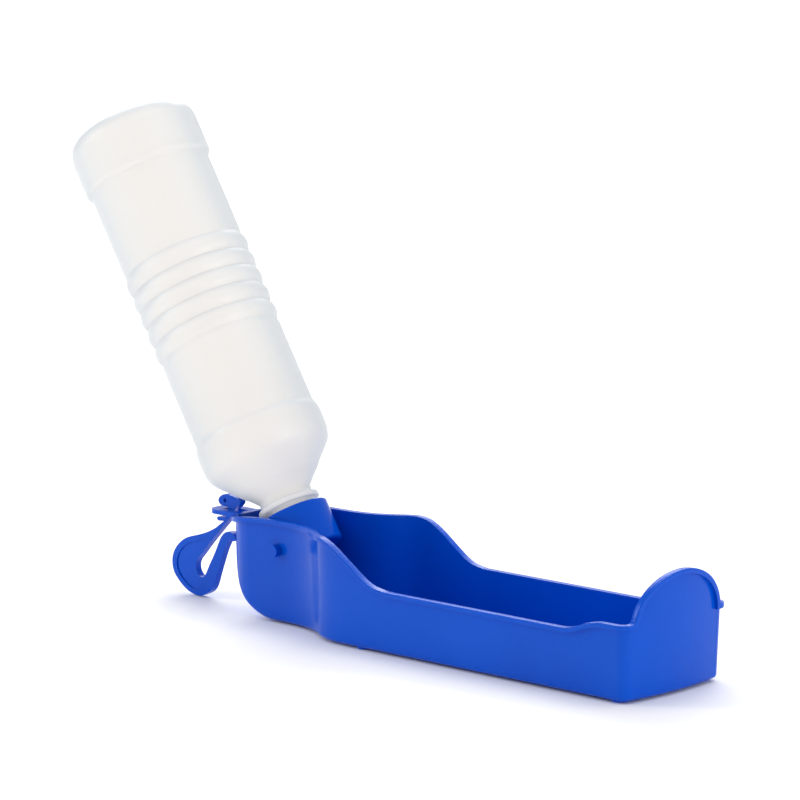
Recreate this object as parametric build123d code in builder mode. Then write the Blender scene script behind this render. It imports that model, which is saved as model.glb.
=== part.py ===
from build123d import *
import math
import os

# Folding travel drinker: a squeeze bottle that hinges on a drinking trough.
# Millimetres, +Z up. The origin is on the resting plane, under the middle of
# the object's length. +X runs along the trough to the arched end wall, and
# the hinge axis is parallel to Y. Stations called s run along the bottle's
# axis from the hinge towards the bottle's base.

os.makedirs("parts", exist_ok=True)

# ---------------------------------------------------------------- dimensions
X0 = -48.37              # hinge axis, along the object's length
HINGE_Z = 38.0            # hinge axis above the resting plane
LEAN = 31.8               # bottle axis back from vertical, unfolded, degrees

# trough, X measured from the hinge
WALL = 1.4                # moulded wall
FOOT_H = 1.0              # feet under the floor
Z_BOT = FOOT_H            # underside of the floor
Z_TOP = 64.0              # construction height, above every rim
HOUSING_HW = 20.0         # outer half width of the hinge housing, at the floor
HOUSING_DRAFT = 0.8       # degrees
TROUGH_HW = 35.15         # outer half width of the trough, at the floor
TROUGH_DRAFT = 1.8        # degrees
HOUSING_XC = -21.2        # centre of the housing's round end, in plan
END_X = 243.4             # end wall at its corners, at the floor
END_BOW = 2.5             # the end wall bulges this much in the middle
CORNER = 5.4              # outside radius of the end wall's upright corners
BELLY_R = 30.0            # round underside of the housing
BELLY_X = -5.0            # where that round meets the flat floor
# how the half width grows from housing (0) to trough (1) along X
SWELL = [(0, 0.0), (6, 0.012), (12, 0.035), (18, 0.09), (24, 0.185), (30, 0.335), (36, 0.56), (41.5, 0.775),
         (47, 0.905), (52, 0.965), (58, 0.992), (64, 1.0)]

# rim
LIP_OUT = 1.9             # lip beyond the wall
LIP_H = 2.4               # lip height
RIM_HIGH = 53.5           # rim over the housing
RIM_LOW = 32.3            # rim along the trough
RIM_END = 38.2            # rim at the end wall's corners
ARCH_HW, ARCH_TOP, ARCH_BASE = 31.0, 60.3, 36.0
ARCH_FOOT = 3.0           # the rim rounds into the arch with this radius
ARCH_X = 238.0            # the arched part starts here
RIM_LEAD = [(-45.0, 49.4), (-37.0, 50.0), (-28.0, 51.4), (-18.6, 52.6), (-8.0, 53.35), (4.0, RIM_HIGH)]
RIM_FALL = [(44.0, RIM_HIGH), (49.0, 53.0), (54.0, 51.3), (60.0, 47.9), (66.0, 43.9), (72.0, 39.7),
            (78.0, 35.9), (84.0, 33.5), (90.0, 32.5), (97.0, RIM_LOW)]
RIM_RISE = [(204.0, RIM_LOW), (209.5, 32.7), (215.5, 34.3), (222.0, 36.6), (228.0, 37.9), (234.0, RIM_END)]

# hanging tab
TAB_TIP, TAB_ROOT, TAB_HW = -63.7, -38.0, 8.0
TAB_Z0, TAB_Z1 = 47.2, 49.4
SLOT_X0, SLOT_X1, SLOT_HW = -56.6, -43.6, 2.9
PIVOT_X, PIVOT_Z = -58.0, 48.3    # middle of the bar that the clip rocks on
CLIP_T = 3.8

# hinge
PIN_R, PIN_HOLE_R = 3.20, 3.26
PIN_END = 24.2            # the pins stand out of the walls to here

# cap
CAP_R, CAP_BORE = 18.6, 14.1
CAP_S0, CAP_S1 = -4.5, 17.6
CAP_FLOOR = -1.5          # inside face of the closed end
THREAD_PITCH = 4.23
NECK_R = 12.6             # bottle neck outside its thread
NECK_BORE = 10.7
MOUTH_S = 0.0

# bottle
BODY_R = 32.3
BAND_R = 34.3             # base band
SHOULDER_R = 33.8         # shoulder band
BOTTLE_WALL = 1.0
BASE_S = 242.0            # standing ring, from the hinge axis
FLANGE_R = 16.2

phi = math.radians(LEAN)
D = Vector(-math.sin(phi), 0, math.cos(phi))     # bottle axis, towards its base
M = Vector(math.cos(phi), 0, math.sin(phi))      # across it, in the XZ plane
HINGE = Vector(X0, 0, HINGE_Z)
bottle_axis = Axis(HINGE, D)
bottle_plane = Plane(origin=HINGE, x_dir=M, z_dir=(M.cross(D)))   # local x radius, local y station


def half_widths(z):
    h = HOUSING_HW + (z - Z_BOT) * math.tan(math.radians(HOUSING_DRAFT))
    t = TROUGH_HW + (z - Z_BOT) * math.tan(math.radians(TROUGH_DRAFT))
    return h, t


def plan_lines(z, inset):
    """Plan outline of the tray at height z, moved in by inset."""
    h, t = half_widths(z)
    side = []
    for i, (x, f) in enumerate(SWELL):
        w = h + (t - h) * f
        if i in (0, len(SWELL) - 1):
            side.append((X0 + x, w - inset))
            continue
        (xa, fa), (xb, fb) = SWELL[i - 1], SWELL[i + 1]
        slope = math.atan((t - h) * (fb - fa) / (xb - xa))
        side.append((X0 + x + inset * math.sin(slope), w - inset * math.cos(slope)))
    h, t = h - inset, t - inset
    xe = X0 + END_X + (z - Z_BOT) * math.tan(math.radians(TROUGH_DRAFT)) - inset
    c = CORNER - inset
    q = c * (1 - math.sqrt(0.5))
    for k in (-1, 1):
        Line((X0 + HOUSING_XC, k * h), (side[0][0], k * side[0][1]))
        Spline(*[(x, k * y) for x, y in side], tangents=[(1, 0), (1, 0)])
        Line((side[-1][0], k * side[-1][1]), (xe - c, k * t))
        ThreePointArc((xe - c, k * t), (xe - q, k * (t - q)), (xe, k * (t - c)))
    ThreePointArc((xe, -(t - c)), (xe + END_BOW, 0), (xe, t - c))
    ThreePointArc((X0 + HOUSING_XC, -h), (X0 + HOUSING_XC - h, 0), (X0 + HOUSING_XC, h))


def lowered(points, drop):
    """A run of rim points moved square to the rim line by drop."""
    out = []
    for i, (x, z) in enumerate(points):
        a, b = points[max(i - 1, 0)], points[min(i + 1, len(points) - 1)]
        t = math.atan2(b[1] - a[1], b[0] - a[0]) if 0 < i < len(points) - 1 else 0.0
        out.append((X0 + x + drop * math.sin(t), z - drop * math.cos(t)))
    return out


def rim_lines(drop):
    """The rim line in the side view, from the tab end to the start of the arch."""
    n, p, q = lowered(RIM_LEAD, drop), lowered(RIM_FALL, drop), lowered(RIM_RISE, drop)
    start, end = (X0 - 75, RIM_LEAD[0][1] - drop), (X0 + ARCH_X, RIM_END - drop)
    Line(start, n[0])
    Spline(*n, tangents=[(1, 0), (1, 0)])
    Line(n[-1], p[0])
    Spline(*p, tangents=[(1, 0), (1, 0)])
    Line(p[-1], q[0])
    Spline(*q, tangents=[(1, 0), (1, 0)])
    Line(q[-1], end)
    return start, end


# ---------------------------------------------------------------- tray
# hollow of the tray
with BuildPart() as hollow:
    with BuildSketch(Plane.XY.offset(Z_BOT + WALL)):
        with BuildLine():
            plan_lines(Z_BOT + WALL, WALL)
        make_face()
    with BuildSketch(Plane.XY.offset(Z_TOP)):
        with BuildLine():
            plan_lines(Z_TOP, WALL)
        make_face()
    loft(ruled=True)
    with BuildSketch(Plane.XZ):
        cx, cz, r = X0 + BELLY_X, Z_BOT + BELLY_R, BELLY_R - WALL
        with BuildLine():
            Polyline((cx - r, cz), (cx - r - 8, Z_TOP + 1), (X0 + 300, Z_TOP + 1), (X0 + 300, cz - r), (cx, cz - r))
            ThreePointArc((cx, cz - r), (cx - r * math.sin(math.pi / 4), cz - r * math.cos(math.pi / 4)), (cx - r, cz))
        make_face()
    extrude(amount=60, both=True, mode=Mode.INTERSECT)

# rim lip, a band outside the walls
with BuildPart() as lip:
    with BuildSketch(Plane.XY.offset(25.0)):
        with BuildLine():
            plan_lines(25.0, -LIP_OUT)
        make_face()
    with BuildSketch(Plane.XY.offset(Z_TOP)):
        with BuildLine():
            plan_lines(Z_TOP, -LIP_OUT)
        make_face()
    loft(ruled=True)
    with BuildSketch(Plane.XZ):
        with BuildLine():
            a, b = rim_lines(0.0)
            c, d = rim_lines(LIP_H)
            Line(a, c)
            Polyline(b, (b[0], Z_TOP + 1), (X0 + 270, Z_TOP + 1), (X0 + 270, RIM_END - LIP_H), d)
        make_face()
    extrude(amount=60, both=True, mode=Mode.INTERSECT)
    # over the end wall the lip follows the arch
    with BuildSketch(Plane.YZ.offset(X0 + ARCH_X)):
        with Locations((0, RIM_END)):
            Rectangle(120, 40, align=(Align.CENTER, Align.MIN))
        with Locations((0, ARCH_BASE)):
            Ellipse(ARCH_HW, ARCH_TOP - ARCH_BASE, mode=Mode.SUBTRACT)
        fillet([v for v in vertices() if v.Y < RIM_END + 0.1 and abs(v.X) < 40],
               radius=ARCH_FOOT)
        with Locations((0, ARCH_BASE)):
            Ellipse(ARCH_HW - LIP_H, ARCH_TOP - ARCH_BASE - LIP_H)
    extrude(amount=40, mode=Mode.SUBTRACT)
    add(hollow.part, mode=Mode.SUBTRACT)

with BuildPart() as tray:
    # drafted outer body
    with BuildSketch(Plane.XY.offset(Z_BOT)):
        with BuildLine():
            plan_lines(Z_BOT, 0.0)
        make_face()
    with BuildSketch(Plane.XY.offset(Z_TOP)):
        with BuildLine():
            plan_lines(Z_TOP, 0.0)
        make_face()
    loft(ruled=True)
    # side outline: round belly under the housing, rim line on top
    with BuildSketch(Plane.XZ):
        cx, cz, r = X0 + BELLY_X, Z_BOT + BELLY_R, BELLY_R
        with BuildLine():
            a, b = rim_lines(0.0)
            Polyline(b, (b[0], Z_TOP + 1), (X0 + 300, Z_TOP + 1), (X0 + 300, cz - r), (cx, cz - r))
            ThreePointArc((cx, cz - r), (cx - r * math.sin(math.pi / 4), cz - r * math.cos(math.pi / 4)), (cx - r, cz))
            Polyline((cx - r, cz), (cx - r - 8, TAB_Z0 - 1), (a[0], TAB_Z0 - 1), a)
        make_face()
    extrude(amount=60, both=True, mode=Mode.INTERSECT)
    # arched end wall
    with BuildSketch(Plane.YZ.offset(X0 + ARCH_X)):
        with Locations((0, RIM_END)):
            Rectangle(120, 40, align=(Align.CENTER, Align.MIN))
        with Locations((0, ARCH_BASE)):
            Ellipse(ARCH_HW, ARCH_TOP - ARCH_BASE, mode=Mode.SUBTRACT)
        fillet([v for v in vertices() if v.Y < RIM_END + 0.1 and abs(v.X) < 40],
               radius=ARCH_FOOT)
    extrude(amount=40, mode=Mode.SUBTRACT)
    bottom = [e for e in tray.edges() if e.bounding_box().max.Z < Z_BOT + 0.01 and e.center().X > X0 + BELLY_X + 1]
    fillet(bottom, radius=2.4)
    add(lip.part)
    # hanging tab, with the slot that leaves a bar for the clip
    with BuildSketch(Plane.XY.offset(TAB_Z0)):
        with Locations((X0 + (TAB_TIP + TAB_ROOT) / 2, 0)):
            Rectangle(TAB_ROOT - TAB_TIP, 2 * TAB_HW)
        tips = [v for v in vertices() if v.X < X0 + TAB_TIP + 0.1]
        fillet(tips, radius=6.0)
    extrude(amount=TAB_Z1 - TAB_Z0)
    add(hollow.part, mode=Mode.SUBTRACT)
    with BuildSketch(Plane.XY.offset(TAB_Z0 - 1)):
        with Locations((X0 + (SLOT_X0 + SLOT_X1) / 2, 0)):
            RectangleRounded(SLOT_X1 - SLOT_X0, 2 * SLOT_HW, 0.8)
    extrude(amount=TAB_Z1 - TAB_Z0 + 2, mode=Mode.SUBTRACT)
    # feet: a bar under the hinge and four round pads
    with BuildSketch(Plane.XY):
        with Locations((X0 + 1.0, 0)):
            RectangleRounded(7, 22, 2)
        with Locations((X0 + 70, -29.5), (X0 + 70, 29.5), (X0 + 235, -29.0), (X0 + 235, 29.0)):
            Circle(3.9)
    extrude(amount=FOOT_H + 0.4)
    # hinge holes through both walls of the housing
    with BuildSketch(Plane.XZ.offset(-40)):
        with Locations((X0, HINGE_Z)):
            Circle(PIN_HOLE_R)
    extrude(amount=80, mode=Mode.SUBTRACT)
tray.part.label = "tray"

# ---------------------------------------------------------------- clip
# flat moulded hook; its head and barb hold the tab's bar between them
CLIP_OUTER = [(-62.9, 38.8), (-69.5, 35.4), (-77.6, 32.6), (-85.8, 30.0), (-92.6, 25.2), (-96.2, 19.6),
              (-96.8, 15.8), (-95.7, 11.0), (-92.0, 6.6), (-86.4, 2.6), (-80.9, 0.7), (-76.4, 0.4), (-71.4, 2.0),
              (-67.2, 5.0), (-65.2, 8.4), (-63.5, 12.9), (-61.0, 19.2), (-57.7, 27.0), (-54.4, 32.6)]
CLIP_TIP = [(-54.4, 32.6), (-52.2, 33.8), (-50.2, 32.8), (-49.4, 34.0), (-50.4, 36.2), (-53.2, 37.4), (-56.4, 36.8),
            (-59.2, 34.6), (-61.0, 31.9)]
CLIP_INNER = [(-61.0, 31.9), (-65.6, 23.1), (-70.0, 15.6), (-72.6, 11.6), (-74.8, 10.5), (-77.2, 11.7),
              (-78.9, 14.7), (-78.6, 17.9), (-75.6, 21.7), (-71.4, 26.3), (-62.0, 35.9), (-51.6, 46.2)]
CLIP_HEAD = [(-51.6, 46.2), (-49.2, 49.6), (-46.4, 52.0), (-45.2, 54.0), (-47.2, 55.6), (-51.0, 56.6), (-55.6, 57.0),
             (-59.6, 55.6), (-61.4, 53.0), (-60.2, 51.2), (-57.6, 50.6), (-54.6, 50.4)]
with BuildPart() as clip:
    with BuildSketch(Plane.XZ):
        with BuildLine():
            Spline(*[(X0 + x, z) for x, z in CLIP_OUTER])
            Spline(*[(X0 + x, z) for x, z in CLIP_TIP])
            Spline(*[(X0 + x, z) for x, z in CLIP_INNER])
            Spline(*[(X0 + x, z) for x, z in CLIP_HEAD])
            Polyline((X0 - 54.6, 50.4), (X0 - 55.2, 46.0), (X0 - 57.0, 44.6), (X0 - 62.0, 44.4), (X0 - 62.9, 43.4),
                     (X0 - 61.6, 42.3), (X0 - 57.6, 42.6), (X0 - 62.9, 38.8))
        make_face()
        with Locations((X0 - 56.6, 53.6)):
            Circle(1.1, mode=Mode.SUBTRACT)
    extrude(amount=CLIP_T / 2, both=True)
    # recessed web in both faces
    for k in (-1, 1):
        with BuildSketch(Plane.XZ.offset(k * (CLIP_T / 2 - 0.6))):
            with BuildLine():
                Spline((X0 - 71.0, 31.4), (X0 - 79.0, 29.2), (X0 - 85.6, 26.6), (X0 - 91.0, 22.0), (X0 - 93.4, 16.4),
                       (X0 - 92.2, 11.2), (X0 - 88.8, 7.6), (X0 - 84.0, 4.4), (X0 - 78.2, 3.4), (X0 - 73.4, 4.8),
                       (X0 - 70.6, 7.6))
                Polyline((X0 - 70.6, 7.6), (X0 - 74.8, 7.4))
                Spline((X0 - 74.8, 7.4), (X0 - 79.0, 9.0), (X0 - 81.8, 13.0), (X0 - 81.6, 18.4), (X0 - 78.0, 23.4),
                       (X0 - 71.0, 31.4))
            make_face()
        extrude(amount=k * 2.0, mode=Mode.SUBTRACT)
clip.part.label = "carry_clip"

# ---------------------------------------------------------------- cap
with BuildPart() as cap:
    with BuildSketch(bottle_plane):
        with BuildLine():
            Polyline((0, CAP_S0), (CAP_R - 1.6, CAP_S0))
            ThreePointArc((CAP_R - 1.6, CAP_S0), (CAP_R - 0.47, CAP_S0 + 0.47), (CAP_R, CAP_S0 + 1.6))
            Polyline((CAP_R, CAP_S0 + 1.6), (CAP_R, CAP_S1 - 0.5), (CAP_R - 0.5, CAP_S1), (CAP_R - 1.5, CAP_S1),
                     (CAP_R - 1.5, 0.4), (CAP_BORE + 1.5, 0.4), (CAP_BORE + 1.5, CAP_S1 - 1.2),
                     (CAP_BORE, CAP_S1 - 1.2), (CAP_BORE, CAP_FLOOR), (0, CAP_FLOOR), (0, CAP_S0))
        make_face()
    revolve(axis=bottle_axis)
    # seat and window for the outlet valve
    with BuildSketch(Plane(origin=HINGE + D * (CAP_S0 - 1), x_dir=M, z_dir=D)):
        Circle(5.0)
    extrude(amount=6, mode=Mode.SUBTRACT)
    with BuildSketch(Plane(origin=HINGE + D * (CAP_FLOOR - 1.4), x_dir=M, z_dir=D)):
        Circle(7.6)
    extrude(amount=3, mode=Mode.SUBTRACT)
    # moulded trunnions
    for k in (-1, 1):
        with BuildSketch(Plane(origin=(X0, k * (CAP_R - 1.2), HINGE_Z), x_dir=(1, 0, 0), z_dir=(0, k, 0))):
            Circle(PIN_R)
        extrude(amount=PIN_END - CAP_R + 1.2)

# ---------------------------------------------------------------- threads
# one start, right hand; both ridges leave each other 0.2 mm or more
def ridge(start_s, height, radius, root, crest, half_root, half_crest):
    """Helical ridge about the bottle's axis, from station start_s."""
    with BuildPart() as th:
        with BuildLine() as path:
            Helix(pitch=THREAD_PITCH, height=height, radius=radius)
        with BuildSketch(Plane(origin=path.line @ 0, x_dir=(1, 0, 0), z_dir=path.line % 0)):
            Polygon((root, -half_root), (crest, -half_crest), (crest, half_crest), (root, half_root), align=None)
        sweep(path=path.line, is_frenet=True)
    return Plane(origin=HINGE + D * start_s, x_dir=M, z_dir=D) * th.part


with BuildPart() as hinge_cap:
    add(cap.part)
    add(ridge(3.6 + THREAD_PITCH / 2, 7.4, CAP_BORE, 0.4, -0.75, 0.95, 0.35))
hinge_cap.part.label = "hinge_cap"

# ---------------------------------------------------------------- outlet valve
# soft domed disc with a crossed slit, held between cap and washer
with BuildPart() as valve:
    with BuildSketch(bottle_plane):
        with BuildLine():
            Polyline((0, -3.4), (2.6, -3.75), (4.0, -4.3), (4.93, -4.3), (4.93, -2.88), (7.5, -2.88), (7.5, -1.6),
                     (5.6, -1.6), (3.2, -2.5), (0, -2.6), (0, -3.4))
        make_face()
    revolve(axis=bottle_axis)
    with BuildSketch(Plane(origin=HINGE + D * -5.0, x_dir=M, z_dir=D)):
        Rectangle(5.4, 0.15)
        Rectangle(0.15, 5.4)
    extrude(amount=4, mode=Mode.SUBTRACT)
valve.part.label = "outlet_valve"

# ---------------------------------------------------------------- washer
with BuildPart() as seal:
    with BuildSketch(Plane(origin=HINGE + D * (CAP_FLOOR + 0.03), x_dir=M, z_dir=D)):
        Circle(13.3)
        Circle(8.2, mode=Mode.SUBTRACT)
    extrude(amount=MOUTH_S - CAP_FLOOR - 0.06)
seal.part.label = "neck_seal"

# ---------------------------------------------------------------- bottle
SHOULDER = [(27.5, 14.0), (29.0, 15.2), (31.9, 17.8), (35.2, 21.2), (38.6, 24.1), (41.8, 27.1), (45.0, 30.2),
            (47.8, 32.3), (51.0, 33.4), (54.5, SHOULDER_R)]
RIB_NOTCHES = [114.7, 124.4, 134.5, 144.0, 153.4, 163.6]
RIB_NOTCH_R, RIB_CREST_R = 31.8, 33.4


def bottle_profile(t):
    """Half outline of the bottle in the sketch plane, from the neck's end, moved in by t."""
    sh = []
    for i, (s, r) in enumerate(SHOULDER):
        a, b = SHOULDER[max(i - 1, 0)], SHOULDER[min(i + 1, len(SHOULDER) - 1)]
        k = math.atan2(b[1] - a[1], b[0] - a[0]) if i < len(SHOULDER) - 1 else 0.0
        sh.append((r - t * math.cos(k), s + t * math.sin(k)))
    Spline(*sh)
    Line(sh[-1], (SHOULDER_R - t, 62.5))
    Spline((SHOULDER_R - t, 62.5), (33.2 - t, 65.4), (BODY_R - t, 68.0), tangents=[(0, 1), (0, 1)])
    Line((BODY_R - t, 68.0), (BODY_R - t, 111.0))
    Spline((BODY_R - t, 111.0), (RIB_NOTCH_R - t, RIB_NOTCHES[0]), tangents=[(0, 1), (-0.35, 1)])
    for a, b in zip(RIB_NOTCHES, RIB_NOTCHES[1:]):
        ThreePointArc((RIB_NOTCH_R - t, a), (RIB_CREST_R - t, (a + b) / 2), (RIB_NOTCH_R - t, b))
    Spline((RIB_NOTCH_R - t, RIB_NOTCHES[-1]), (BODY_R - t, 167.5), tangents=[(0.35, 1), (0, 1)])
    Line((BODY_R - t, 167.5), (BODY_R - t, 209.8))
    Spline((BODY_R - t, 209.8), ((BODY_R + BAND_R) / 2 - t, 211.3), (BAND_R - t, 213.0), tangents=[(0, 1), (0, 1)])
    Line((BAND_R - t, 213.0), (BAND_R - t, BASE_S - 10.0))
    c = BAND_R - 10.0
    q = 10.0 - t
    ThreePointArc((BAND_R - t, BASE_S - 10.0), (c + q * math.sin(math.pi / 4), BASE_S - 10.0 + q * math.cos(math.pi / 4)),
                  (c, BASE_S - t))
    Spline((c, BASE_S - t), (c - 4.5, BASE_S - 2.2 - t), (0, BASE_S - 4.0 - t), tangents=[(-1, 0), (-1, 0)])
    return sh[0], (0, BASE_S - 4.0 - t)


with BuildPart() as bottle:
    with BuildSketch(bottle_plane):
        with BuildLine():
            a, b = bottle_profile(0.0)
            Polyline(b, (0, MOUTH_S), (NECK_R - 0.5, MOUTH_S), (NECK_R, MOUTH_S + 0.5), (NECK_R, 20.8),
                     (FLANGE_R - 0.4, 20.8), (FLANGE_R, 21.2), (FLANGE_R, 23.0), (FLANGE_R - 0.6, 23.7), (14.0, 24.0), a)
        make_face()
    revolve(axis=bottle_axis)
    add(ridge(3.6, 7.4, NECK_R, -0.4, 1.2, 1.1, 0.4))
    with BuildSketch(bottle_plane):
        with BuildLine():
            a, b = bottle_profile(BOTTLE_WALL)
            Polyline(b, (0, MOUTH_S - 1), (NECK_BORE, MOUTH_S - 1), (NECK_BORE, 24.5), a)
        make_face()
    revolve(axis=bottle_axis, mode=Mode.SUBTRACT)
bottle.part.label = "bottle"

# ---------------------------------------------------------------- files
export_step(tray.part, "parts/tray.step")
export_step(clip.part, "parts/carry_clip.step")
export_step(hinge_cap.part, "parts/hinge_cap.step")
export_step(valve.part, "parts/outlet_valve.step")
export_step(seal.part, "parts/neck_seal.step")
export_step(bottle.part, "parts/bottle.step")
for p in (tray, clip, hinge_cap, valve, seal, bottle):
    bb = p.part.bounding_box()
    print(p.part.label, p.part.is_valid, len(p.part.solids()), round(p.part.volume / 1000, 2),
          [round(v, 2) for v in (bb.min.X, bb.min.Y, bb.min.Z, bb.max.X, bb.max.Y, bb.max.Z)])
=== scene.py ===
import bpy, bmesh, math
from mathutils import Matrix, Vector


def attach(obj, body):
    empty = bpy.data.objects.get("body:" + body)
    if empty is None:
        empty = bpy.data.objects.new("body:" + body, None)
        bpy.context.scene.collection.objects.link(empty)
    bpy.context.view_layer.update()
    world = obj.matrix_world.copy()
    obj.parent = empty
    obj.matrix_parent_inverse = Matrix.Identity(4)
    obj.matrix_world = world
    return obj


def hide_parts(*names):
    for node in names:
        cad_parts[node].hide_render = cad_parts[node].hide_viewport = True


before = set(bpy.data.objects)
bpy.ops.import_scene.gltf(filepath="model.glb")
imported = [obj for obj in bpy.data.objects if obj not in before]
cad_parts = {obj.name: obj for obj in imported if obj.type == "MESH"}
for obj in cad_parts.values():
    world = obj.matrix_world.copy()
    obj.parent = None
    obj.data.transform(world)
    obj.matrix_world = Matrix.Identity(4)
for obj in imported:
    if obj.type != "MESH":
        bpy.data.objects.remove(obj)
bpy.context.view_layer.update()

MM = 0.001
HX = -0.04837
HZ = 0.038
LEAN = math.radians(31.8)
AX_D = Vector((-math.sin(LEAN), 0, math.cos(LEAN)))
AX_M = Vector((math.cos(LEAN), 0, math.sin(LEAN)))
HINGE = Vector((HX, 0, HZ))


# ------------------------------------------------------------------ materials
def nodes_of(name):
    m = bpy.data.materials.new(name)
    m.use_nodes = True
    t = m.node_tree
    p = next(n for n in t.nodes if n.type == "BSDF_PRINCIPLED")
    return m, t, p


def put(p, **kw):
    for k, v in kw.items():
        s = p.inputs[k.replace("_", " ")]
        s.default_value = v


def link(t, a, b):
    t.links.new(a, b)


def plastic(name, low, high, rough, rough_var, grain=9.0, bump=0.02, coat=0.0, spec=0.5, sss=0.0, sss_r=(0.2, 0.4, 1.0)):
    """Moulded plastic: slow colour drift, flow marks, fine surface texture."""
    m, t, p = nodes_of(name)
    tc = t.nodes.new("ShaderNodeTexCoord")
    big = t.nodes.new("ShaderNodeTexNoise")
    big.inputs["Scale"].default_value = 14.0
    big.inputs["Detail"].default_value = 3.0
    link(t, tc.outputs["Object"], big.inputs["Vector"])
    ramp = t.nodes.new("ShaderNodeValToRGB")
    ramp.color_ramp.elements[0].position = 0.3
    ramp.color_ramp.elements[0].color = (*low, 1)
    ramp.color_ramp.elements[1].position = 0.7
    ramp.color_ramp.elements[1].color = (*high, 1)
    link(t, big.outputs["Fac"], ramp.inputs["Fac"])
    link(t, ramp.outputs["Color"], p.inputs["Base Color"])
    # slow ripple in the gloss, as on a moulded wall
    rip = t.nodes.new("ShaderNodeTexNoise")
    rip.inputs["Scale"].default_value = 60.0
    rip.inputs["Detail"].default_value = 4.0
    link(t, tc.outputs["Object"], rip.inputs["Vector"])
    mr = t.nodes.new("ShaderNodeMapRange")
    mr.inputs["From Min"].default_value = 0.3
    mr.inputs["From Max"].default_value = 0.7
    mr.inputs["To Min"].default_value = rough - rough_var
    mr.inputs["To Max"].default_value = rough + rough_var
    link(t, rip.outputs["Fac"], mr.inputs["Value"])
    link(t, mr.outputs["Result"], p.inputs["Roughness"])
    # spark-eroded mould texture
    fine = t.nodes.new("ShaderNodeTexNoise")
    fine.inputs["Scale"].default_value = grain * 300.0
    fine.inputs["Detail"].default_value = 2.0
    link(t, tc.outputs["Object"], fine.inputs["Vector"])
    add = t.nodes.new("ShaderNodeMath")
    add.operation = "MULTIPLY_ADD"
    add.inputs[1].default_value = 0.35
    link(t, fine.outputs["Fac"], add.inputs[0])
    link(t, rip.outputs["Fac"], add.inputs[2])
    bp = t.nodes.new("ShaderNodeBump")
    bp.inputs["Strength"].default_value = 0.35
    bp.inputs["Distance"].default_value = bump * MM
    link(t, add.outputs["Value"], bp.inputs["Height"])
    link(t, bp.outputs["Normal"], p.inputs["Normal"])
    put(p, IOR=1.49, Specular_IOR_Level=spec, Coat_Weight=coat, Coat_Roughness=0.15)
    if sss:
        put(p, Subsurface_Weight=sss, Subsurface_Radius=sss_r, Subsurface_Scale=0.004)
    return m


BLUE = plastic("blue_polypropylene", (0.0, 0.068, 0.52), (0.0, 0.084, 0.60), 0.21, 0.03,
               spec=0.15, bump=0.008)
SILICONE = plastic("grey_silicone", (0.20, 0.165, 0.145), (0.27, 0.225, 0.195), 0.5, 0.08, coat=0.0, bump=0.05)
WASHER = plastic("washer_silicone", (0.55, 0.54, 0.52), (0.62, 0.61, 0.59), 0.55, 0.08, coat=0.0, bump=0.05)


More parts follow.
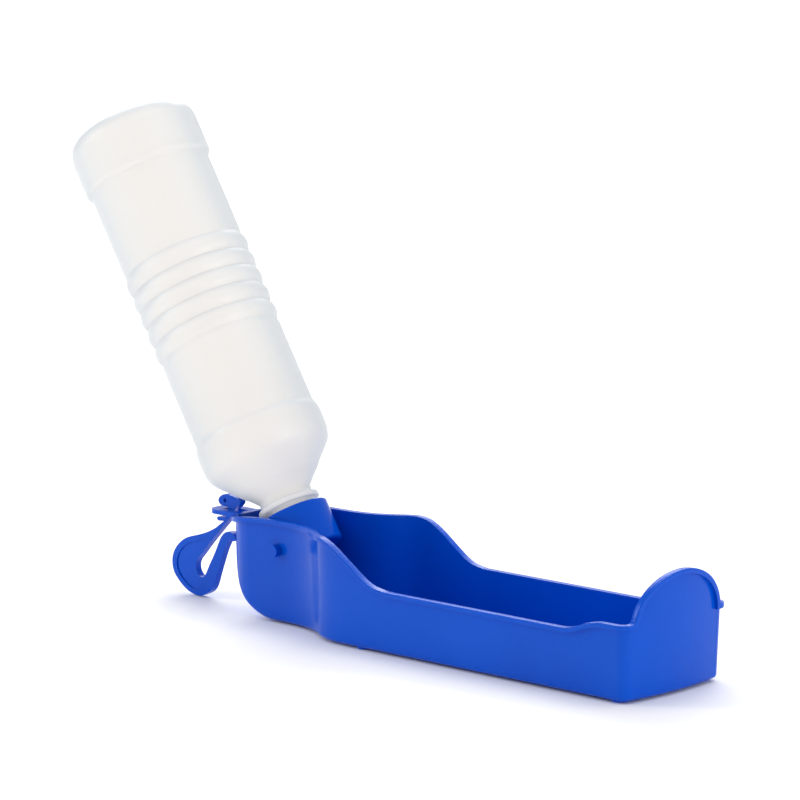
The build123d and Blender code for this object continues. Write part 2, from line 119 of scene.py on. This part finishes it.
def milky(name):
    """Blow-moulded polyethylene: light gets in and scatters; faces turned toward the camera get a painted warm glow,
    and the flanks stay cool.
    """
    m, t, p = nodes_of(name)
    tc = t.nodes.new("ShaderNodeTexCoord")
    n = t.nodes.new("ShaderNodeTexNoise")
    n.inputs["Scale"].default_value = 22.0
    n.inputs["Detail"].default_value = 4.0
    link(t, tc.outputs["Object"], n.inputs["Vector"])
    ramp = t.nodes.new("ShaderNodeValToRGB")
    ramp.color_ramp.elements[0].position = 0.25
    ramp.color_ramp.elements[0].color = (0.83, 0.87, 0.905, 1)
    ramp.color_ramp.elements[1].position = 0.75
    ramp.color_ramp.elements[1].color = (0.87, 0.90, 0.925, 1)
    link(t, n.outputs["Fac"], ramp.inputs["Fac"])
    link(t, ramp.outputs["Color"], p.inputs["Base Color"])
    fine = t.nodes.new("ShaderNodeTexNoise")
    fine.inputs["Scale"].default_value = 900.0
    fine.inputs["Detail"].default_value = 3.0
    link(t, tc.outputs["Object"], fine.inputs["Vector"])
    add = t.nodes.new("ShaderNodeMath")
    add.operation = "MULTIPLY_ADD"
    add.inputs[1].default_value = 0.15
    link(t, fine.outputs["Fac"], add.inputs[0])
    link(t, n.outputs["Fac"], add.inputs[2])
    bp = t.nodes.new("ShaderNodeBump")
    bp.inputs["Strength"].default_value = 0.3
    bp.inputs["Distance"].default_value = 0.12 * MM
    link(t, add.outputs["Value"], bp.inputs["Height"])
    link(t, bp.outputs["Normal"], p.inputs["Normal"])
    put(p, Roughness=0.36, IOR=1.51, Subsurface_Weight=0.55, Subsurface_Radius=(1.0, 0.95, 0.9),
        Subsurface_Scale=0.012, Coat_Weight=0.15, Coat_Roughness=0.2)
    out = next(x for x in t.nodes if x.type == "OUTPUT_MATERIAL")
    tr = t.nodes.new("ShaderNodeBsdfTranslucent")
    tr.inputs["Color"].default_value = (0.93, 0.945, 0.955, 1)
    # painted light: faces turned toward the camera are tinted warm and given a faint warm emission, while the flanks
    # stay cool
    geo = t.nodes.new("ShaderNodeNewGeometry")
    dot = t.nodes.new("ShaderNodeVectorMath")
    dot.operation = "DOT_PRODUCT"
    dot.inputs[1].default_value = (0.72, -0.69, 0.0)
    link(t, geo.outputs["True Normal"], dot.inputs[0])
    ab = t.nodes.new("ShaderNodeMath")
    ab.operation = "ABSOLUTE"
    link(t, dot.outputs["Value"], ab.inputs[0])
    painted_glow = t.nodes.new("ShaderNodeMapRange")
    painted_glow.interpolation_type = "SMOOTHSTEP"
    painted_glow.inputs["From Min"].default_value = 0.35
    painted_glow.inputs["From Max"].default_value = 0.95
    painted_glow.inputs["To Min"].default_value = 0.0
    painted_glow.inputs["To Max"].default_value = 1.0
    link(t, ab.outputs["Value"], painted_glow.inputs["Value"])
    painted_warm_tint = t.nodes.new("ShaderNodeMix")
    painted_warm_tint.data_type = "RGBA"
    link(t, painted_glow.outputs["Result"], painted_warm_tint.inputs[0])
    link(t, ramp.outputs["Color"], painted_warm_tint.inputs[6])
    painted_warm_tint.inputs[7].default_value = (0.95, 0.905, 0.86, 1)
    link(t, painted_warm_tint.outputs[2], p.inputs["Base Color"])
    painted_glow_emission = t.nodes.new("ShaderNodeMath")
    painted_glow_emission.operation = "MULTIPLY"
    painted_glow_emission.inputs[1].default_value = 0.16
    link(t, painted_glow.outputs["Result"], painted_glow_emission.inputs[0])
    link(t, painted_glow_emission.outputs["Value"], p.inputs["Emission Strength"])
    # warm colour of the painted glow
    put(p, Emission_Color=(1.0, 0.93, 0.84, 1))
    link(t, bp.outputs["Normal"], tr.inputs["Normal"])
    mix = t.nodes.new("ShaderNodeMixShader")
    mix.inputs["Fac"].default_value = 0.38
    link(t, p.outputs["BSDF"], mix.inputs[1])
    link(t, tr.outputs["BSDF"], mix.inputs[2])
    link(t, mix.outputs["Shader"], out.inputs["Surface"])
    return m


MILK = milky("milky_polyethylene")


def dress(node, material):
    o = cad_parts[node]
    for i in range(len(o.material_slots)):
        o.material_slots[i].material = material
    if not o.material_slots:
        o.data.materials.append(material)
    return o


for n, m in (("tray", BLUE), ("carry_clip", BLUE), ("hinge_cap", BLUE), ("outlet_valve", SILICONE), ("neck_seal", WASHER)):
    dress(n, m)
dress("bottle", MILK)


# ------------------------------------------------------------------ bottle
def smooth_points(pts, n=6):
    """Catmull-Rom through the points."""
    out = []
    for i in range(len(pts) - 1):
        p0 = pts[max(i - 1, 0)]
        p1, p2 = pts[i], pts[i + 1]
        p3 = pts[min(i + 2, len(pts) - 1)]
        for k in range(n):
            t = k / n
            out.append(tuple(0.5 * ((2 * b) + (c - a) * t + (2 * a - 5 * b + 4 * c - d) * t * t
                                    + (3 * b - a - 3 * c + d) * t ** 3) for a, b, c, d in zip(p0, p1, p2, p3)))
    out.append(tuple(pts[-1]))
    return out


def arc(a, mid, b, n=10):
    """Round crest between two valleys, as (s, r)."""
    out = []
    for k in range(n):
        t = k / n
        s = a[0] + (b[0] - a[0]) * t
        out.append((s, a[1] + (mid - a[1]) * math.sin(math.pi * t) ** 0.85))
    return out


def bottle_outline():
    """(s, r) from the neck's end to the middle of the base."""
    BODY, BAND, SH = 32.3, 34.3, 33.8
    o = [(0.0, 10.9), (0.0, 12.1), (0.12, 12.42), (0.5, 12.6), (20.3, 12.6), (20.65, 12.75), (20.8, 13.1), (20.8, 15.7),
         (20.95, 16.05), (21.3, 16.2), (22.9, 16.2), (23.3, 16.05), (23.55, 15.7), (23.8, 14.5), (24.1, 14.05), (24.8, 13.9)]
    o += smooth_points([(25.6, 13.85), (27.5, 14.05), (29.0, 15.2), (31.9, 17.8), (35.2, 21.2), (38.6, 24.1), (41.8, 27.1),
                        (45.0, 30.2), (47.8, 32.3), (51.0, 33.4), (54.5, SH)], 5)
    o += [(58.0, SH + 0.02), (62.0, SH)]
    o += smooth_points([(63.0, SH - 0.02), (64.4, 33.55), (65.6, 33.1), (66.8, 32.6), (68.4, BODY)], 4)
    o += [(75, BODY), (85, BODY + 0.03), (95, BODY + 0.03), (105, BODY)]
    o += smooth_points([(109.0, BODY), (111.5, BODY - 0.02), (113.4, 32.05), (114.5, 31.85)], 3)
    nt = [114.7, 124.4, 134.5, 144.0, 153.4, 163.6]
    for a, b in zip(nt, nt[1:]):
        o += arc((a, 31.8), 33.4, (b, 31.8), 12)
    o += [(163.6, 31.8)]
    o += smooth_points([(164.0, 31.85), (165.2, 32.08), (167.3, BODY), (170.0, BODY)], 3)
    o += [(180, BODY + 0.02), (190, BODY + 0.03), (200, BODY + 0.02)]
    o += smooth_points([(208.6, BODY), (209.9, BODY + 0.03), (210.7, 32.7), (211.3, 33.4), (212.0, 34.0), (213.0, BAND)], 3)
    o += [(218, BAND), (225, BAND), (231.0, BAND)]
    for k in range(1, 11):
        q = math.pi / 2 * k / 10
        o.append((232.0 + 10 * math.sin(q), BAND - 10 + 10 * math.cos(q)))
    o += smooth_points([(242.0, 23.6), (241.7, 22.4), (240.7, 20.8), (239.6, 18.8), (238.9, 15.0), (238.4, 9.0), (238.1, 3.5)], 3)
    return o


def lathe(name, prof, segs, place, radial=None, closed_ends=True):
    """Revolves (s, r) about s. radial(s, r, angle) gives the final radius."""
    bm = bmesh.new()
    rings = []
    for s, r in prof:
        ring = []
        for k in range(segs):
            a = 2 * math.pi * k / segs
            rr = radial(s, r, a) if radial else r
            ring.append(bm.verts.new(place(s, rr, a)))
        rings.append(ring)
    for i in range(len(rings) - 1):
        for k in range(segs):
            j = (k + 1) % segs
            bm.faces.new((rings[i][k], rings[i][j], rings[i + 1][j], rings[i + 1][k]))
    return bm, rings


def place_tilted(s, r, a):
    return HINGE + AX_D * (s * MM) + AX_M * (r * MM * math.cos(a)) + Vector((0, 1, 0)) * (r * MM * math.sin(a))


def to_object(bm, name, material, smooth=True):
    bmesh.ops.recalc_face_normals(bm, faces=bm.faces)
    me = bpy.data.meshes.new(name)
    bm.to_mesh(me)
    bm.free()
    for p in me.polygons:
        p.use_smooth = smooth
    o = bpy.data.objects.new(name, me)
    bpy.context.scene.collection.objects.link(o)
    me.materials.append(material)
    return o


def build_bottle():
    segs = 224
    outer = bottle_outline()
    # a fine mould parting ridge runs up both sides, stopping short of the neck and of the middle of the base
    def radial(s, r, a):
        if s < 24.9 or r < 20:
            return r
        d = abs(((a + math.pi / 2) % math.pi) - math.pi / 2) * r
        return r + 0.07 * math.exp(-(d / 0.35) ** 2)
    inner = []
    wall = 1.0
    n = len(outer)
    for i, (s, r) in enumerate(outer):
        if s < 24.85 and r < 17:
            continue
        a, b = outer[max(i - 1, 0)], outer[min(i + 1, n - 1)]
        L = math.hypot(b[0] - a[0], b[1] - a[1]) or 1.0
        ns, nr = -(b[1] - a[1]) / L, (b[0] - a[0]) / L
        inner.append((s - wall * ns, r - wall * nr))
    inner = [(0.0, 10.9), (0.3, 10.7), (22.0, 10.7), (24.0, 11.2), (25.0, 12.6)] + inner[1:]
    bm, rings = lathe("b", outer, segs, place_tilted, radial)
    cap = bm.verts.new(place_tilted(outer[-1][0], 0, 0))
    last = rings[-1]
    for k in range(segs):
        bm.faces.new((last[k], last[(k + 1) % segs], cap))
    first = rings[0]
    prev = first
    rings_in = []
    for s, r in inner[1:]:
        ring = [bm.verts.new(place_tilted(s, r, 2 * math.pi * k / segs)) for k in range(segs)]
        for k in range(segs):
            j = (k + 1) % segs
            bm.faces.new((prev[j], prev[k], ring[k], ring[j]))
        prev = ring
    c2 = bm.verts.new(place_tilted(inner[-1][0], 0, 0))
    for k in range(segs):
        bm.faces.new((prev[(k + 1) % segs], prev[k], c2))
    o = to_object(bm, "bottle_shell", MILK)
    return o


def build_thread(name, start_s, turns, pitch, root, crest, material, half_root=1.0, half_crest=0.4):
    """One-start thread, run out at both ends."""
    bm = bmesh.new()
    n = int(72 * turns)
    prev = None
    for i in range(n + 1):
        a = 2 * math.pi * i / 72
        s = start_s + pitch * i / 72
        f = min(1.0, i / 9, (n - i) / 9)
        c = root + (crest - root) * f
        sec = [(s - half_root, root - 0.25 * (1 if crest > root else -1)), (s - half_crest, c), (s + half_crest, c),
               (s + half_root, root - 0.25 * (1 if crest > root else -1))]
        ring = [bm.verts.new(place_tilted(ss, rr, a)) for ss, rr in sec]
        if prev:
            for k in range(4):
                j = (k + 1) % 4
                bm.faces.new((prev[k], prev[j], ring[j], ring[k]))
        else:
            bm.faces.new(ring)
        prev = ring
    bm.faces.new(list(reversed(prev)))
    return to_object(bm, name, material)


bottle = build_bottle()
neck_thread = build_thread("bottle_neck_thread", 3.6, 7.4 / 4.23, 4.23, 12.6, 13.75, MILK)
for o in (bottle, neck_thread):
    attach(o, "bottle")
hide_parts("bottle")

# ------------------------------------------------------------------ rolled rim of the trough
SWELL = [(0, 0.0), (6, 0.012), (12, 0.035), (18, 0.09), (24, 0.185), (30, 0.335), (36, 0.56), (41.5, 0.775),
         (47, 0.905), (52, 0.965), (58, 0.992), (64, 1.0)]
RIM = [(-45.0, 49.4), (-37.0, 50.0), (-28.0, 51.4), (-18.6, 52.6), (-8.0, 53.35), (4.0, 53.5), (24.0, 53.5), (44.0, 53.5),
       (49.0, 53.0), (54.0, 51.3), (60.0, 47.9), (66.0, 43.9), (72.0, 39.7), (78.0, 35.9), (84.0, 33.5), (90.0, 32.5),
       (97.0, 32.3), (150.0, 32.3), (204.0, 32.3), (209.5, 32.7), (215.5, 34.3), (222.0, 36.6), (228.0, 37.9),
       (234.0, 38.2), (260.0, 38.2)]


def pchip(tab, x):
    """Monotone cubic through a table of (x, y)."""
    n = len(tab)
    if x <= tab[0][0]:
        return tab[0][1]
    if x >= tab[-1][0]:
        return tab[-1][1]
    d = [(tab[i + 1][1] - tab[i][1]) / (tab[i + 1][0] - tab[i][0]) for i in range(n - 1)]
    def slope(i):
        if i <= 0 or i >= n - 1 or d[i - 1] * d[i] <= 0:
            return 0.0
        h0, h1 = tab[i][0] - tab[i - 1][0], tab[i + 1][0] - tab[i][0]
        w0, w1 = 2 * h1 + h0, h1 + 2 * h0
        return (w0 + w1) / (w0 / d[i - 1] + w1 / d[i])
    i = max(k for k in range(n - 1) if tab[k][0] <= x)
    h = tab[i + 1][0] - tab[i][0]
    t = (x - tab[i][0]) / h
    a, b = slope(i) * h, slope(i + 1) * h
    return ((2 * t ** 3 - 3 * t ** 2 + 1) * tab[i][1] + (t ** 3 - 2 * t ** 2 + t) * a
            + (-2 * t ** 3 + 3 * t ** 2) * tab[i + 1][1] + (t ** 3 - t ** 2) * b)


def widths(z):
    return (20.0 + (z - 1) * math.tan(math.radians(0.8)), 35.15 + (z - 1) * math.tan(math.radians(1.8)))


def rim_path():
    """Half of the rim, from the tab end round the front to the middle of the arch: (x, y, z) from the hinge, mm."""
    pts = []
    for k in range(31):
        a = math.pi / 2 * k / 30
        x = -21.2 - 20.7 * math.cos(a)
        z = pchip(RIM, x)
        h, t = widths(z)
        pts.append((-21.2 - h * math.cos(a), -h * math.sin(a), z))
    x = -20.2
    while x < 237.0:
        z = pchip(RIM, x)
        h, t = widths(z)
        pts.append((x, -(h + (t - h) * pchip(SWELL, x)), z))
        x += 0.9
    z = 38.2
    h, t = widths(z)
    xe = 243.4 + (z - 1) * math.tan(math.radians(1.8))
    c = 5.4
    for k in range(13):
        a = math.pi / 2 * k / 12
        pts.append((xe - c + c * math.sin(a), -(t - c) - c * math.cos(a), z))
    def endx(y, z):
        h, t = widths(z)
        return 243.4 + (z - 1) * math.tan(math.radians(1.8)) + 2.5 * (1 - min(1, abs(y) / (t - c)) ** 2)
    yf, zf, r = 33.35, 41.2, 3.0
    for k in range(1, 10):
        a = math.pi / 2 * k / 10
        y, zz = -(yf - r * math.sin(a)), zf - r * math.cos(a)
        if abs(y) < t - c:
            pts.append((endx(y, zz), y, zz))
    a0 = math.asin((41.4 - 36) / 24.3)
    for k in range(0, 61):
        a = a0 + (math.pi / 2 - a0) * k / 60
        y, zz = -31.0 * math.cos(a), 36 + 24.3 * math.sin(a)
        pts.append((endx(y, zz), y, zz))
    return pts


def build_rim():
    half = rim_path()
    other = [(x, -y, z) for x, y, z in reversed(half[1:-1])]
    path = half + other
    P = [Vector(p) for p in path]
    n = len(P)
    bm = bmesh.new()
    sec = []
    w, hgt, r = 3.42 / 2, 2.52 / 2, 0.95
    for cx, cz, a0 in ((w - r, hgt - r, 0), (-(w - r), hgt - r, 90), (-(w - r), -(hgt - r), 180), (w - r, -(hgt - r), 270)):
        for k in range(7):
            a = math.radians(a0 + 90 * k / 6)
            sec.append((cx + r * math.cos(a), cz + r * math.sin(a)))
    rings = []
    for i in range(n):
        T = (P[(i + 1) % n] - P[(i - 1) % n])
        flat = Vector((T.x, T.y, 0))
        if 0 < flat.length:
            N = Vector((flat.y, -flat.x, 0)).normalized()
        x, y, z = P[i]
        if x > 240.5 and abs(y) < 34.0:
            h, t = widths(z)
            N = Vector((1.0, 2 * 2.5 * y / (t - 5.4) ** 2, 0)).normalized()
        T.normalize()
        Dn = T.cross(N).normalized()
        N = Dn.cross(T).normalized()
        c = P[i] + N * 0.25 + Dn * 1.2
        ring = []
        for a, b in sec:
            q = c + N * a - Dn * b
            ring.append(bm.verts.new(Vector((q.x * MM + HX, q.y * MM, q.z * MM))))
        rings.append(ring)
    m = len(sec)
    for i in range(n):
        A, B = rings[i], rings[(i + 1) % n]
        for k in range(m):
            bm.faces.new((A[k], A[(k + 1) % m], B[(k + 1) % m], B[k]))
    return to_object(bm, "trough_rolled_rim", BLUE)


rim = build_rim()
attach(rim, "trough")


# ------------------------------------------------------------------ floor, light, camera
bm = bmesh.new()
bmesh.ops.create_grid(bm, x_segments=8, y_segments=8, size=6.0)
floor_mat, t, p = nodes_of("floor_paper")
put(p, Base_Color=(0.97, 0.97, 0.97, 1), Roughness=0.8, Specular_IOR_Level=0.3)
n = t.nodes.new("ShaderNodeTexNoise")
n.inputs["Scale"].default_value = 40.0
bp = t.nodes.new("ShaderNodeBump")
bp.inputs["Strength"].default_value = 0.05
bp.inputs["Distance"].default_value = 0.0002
link(t, n.outputs["Fac"], bp.inputs["Height"])
link(t, bp.outputs["Normal"], p.inputs["Normal"])
floor = to_object(bm, "floor", floor_mat, smooth=False)
floor.location.z = -0.0002

world = bpy.data.worlds.new("studio")
bpy.context.scene.world = world
world.use_nodes = True
bg = next(x for x in world.node_tree.nodes if x.type == "BACKGROUND")
bg.inputs["Color"].default_value = (1.0, 1.0, 1.0, 1)
bg.inputs["Strength"].default_value = 0.62


def area(name, loc, target, size, power, size_y=None):
    d = bpy.data.lights.new(name, "AREA")
    d.shape = "RECTANGLE"
    d.size = size
    d.size_y = size_y or size
    d.energy = power
    o = bpy.data.objects.new(name, d)
    bpy.context.scene.collection.objects.link(o)
    o.location = loc
    o.rotation_euler = (Vector(target) - Vector(loc)).to_track_quat("-Z", "Y").to_euler()
    return o


area("top", (0.15, 0.25, 1.7), (0, 0, 0.0), 1.3, 9.0)
area("far", (-2.7, 2.8, 2.3), (-2.4, 2.5, 0.0), 3.6, 150.0)
area("key_left", (-1.45, -1.15, 0.8), (-0.02, 0, 0.08), 0.45, 11.0, 0.9)
area("right", (1.75, 0.0, 0.5), (0.05, 0, 0.05), 0.35, 7.0, 0.8)
bpy.context.scene.view_settings.view_transform = "Standard"

# camera at the photograph's viewing angle
az, el, roll = 0.7608516895676697, 0.16994008948998512, -0.006850052014854592
back = Vector((math.sin(az) * math.cos(el), -math.cos(az) * math.cos(el), math.sin(el)))
right = Vector((math.cos(az), math.sin(az), 0))
up = back.cross(right)
r2 = right * math.cos(roll) + up * math.sin(roll)
u2 = -right * math.sin(roll) + up * math.cos(roll)
cam = bpy.data.cameras.new("camera")
cam.lens = 36.0 * 4301.432559203995 / 800.0
cam.sensor_width = 36.0
cam.clip_start = 0.05
cam.clip_end = 50.0
co = bpy.data.objects.new("camera", cam)
bpy.context.scene.collection.objects.link(co)
m = Matrix((r2, u2, back)).transposed().to_4x4()
m.translation = Vector((1.5114787310148138 + HX, -1.5173322303482882, 0.47935790698100897))
co.matrix_world = m
bpy.context.scene.camera = co
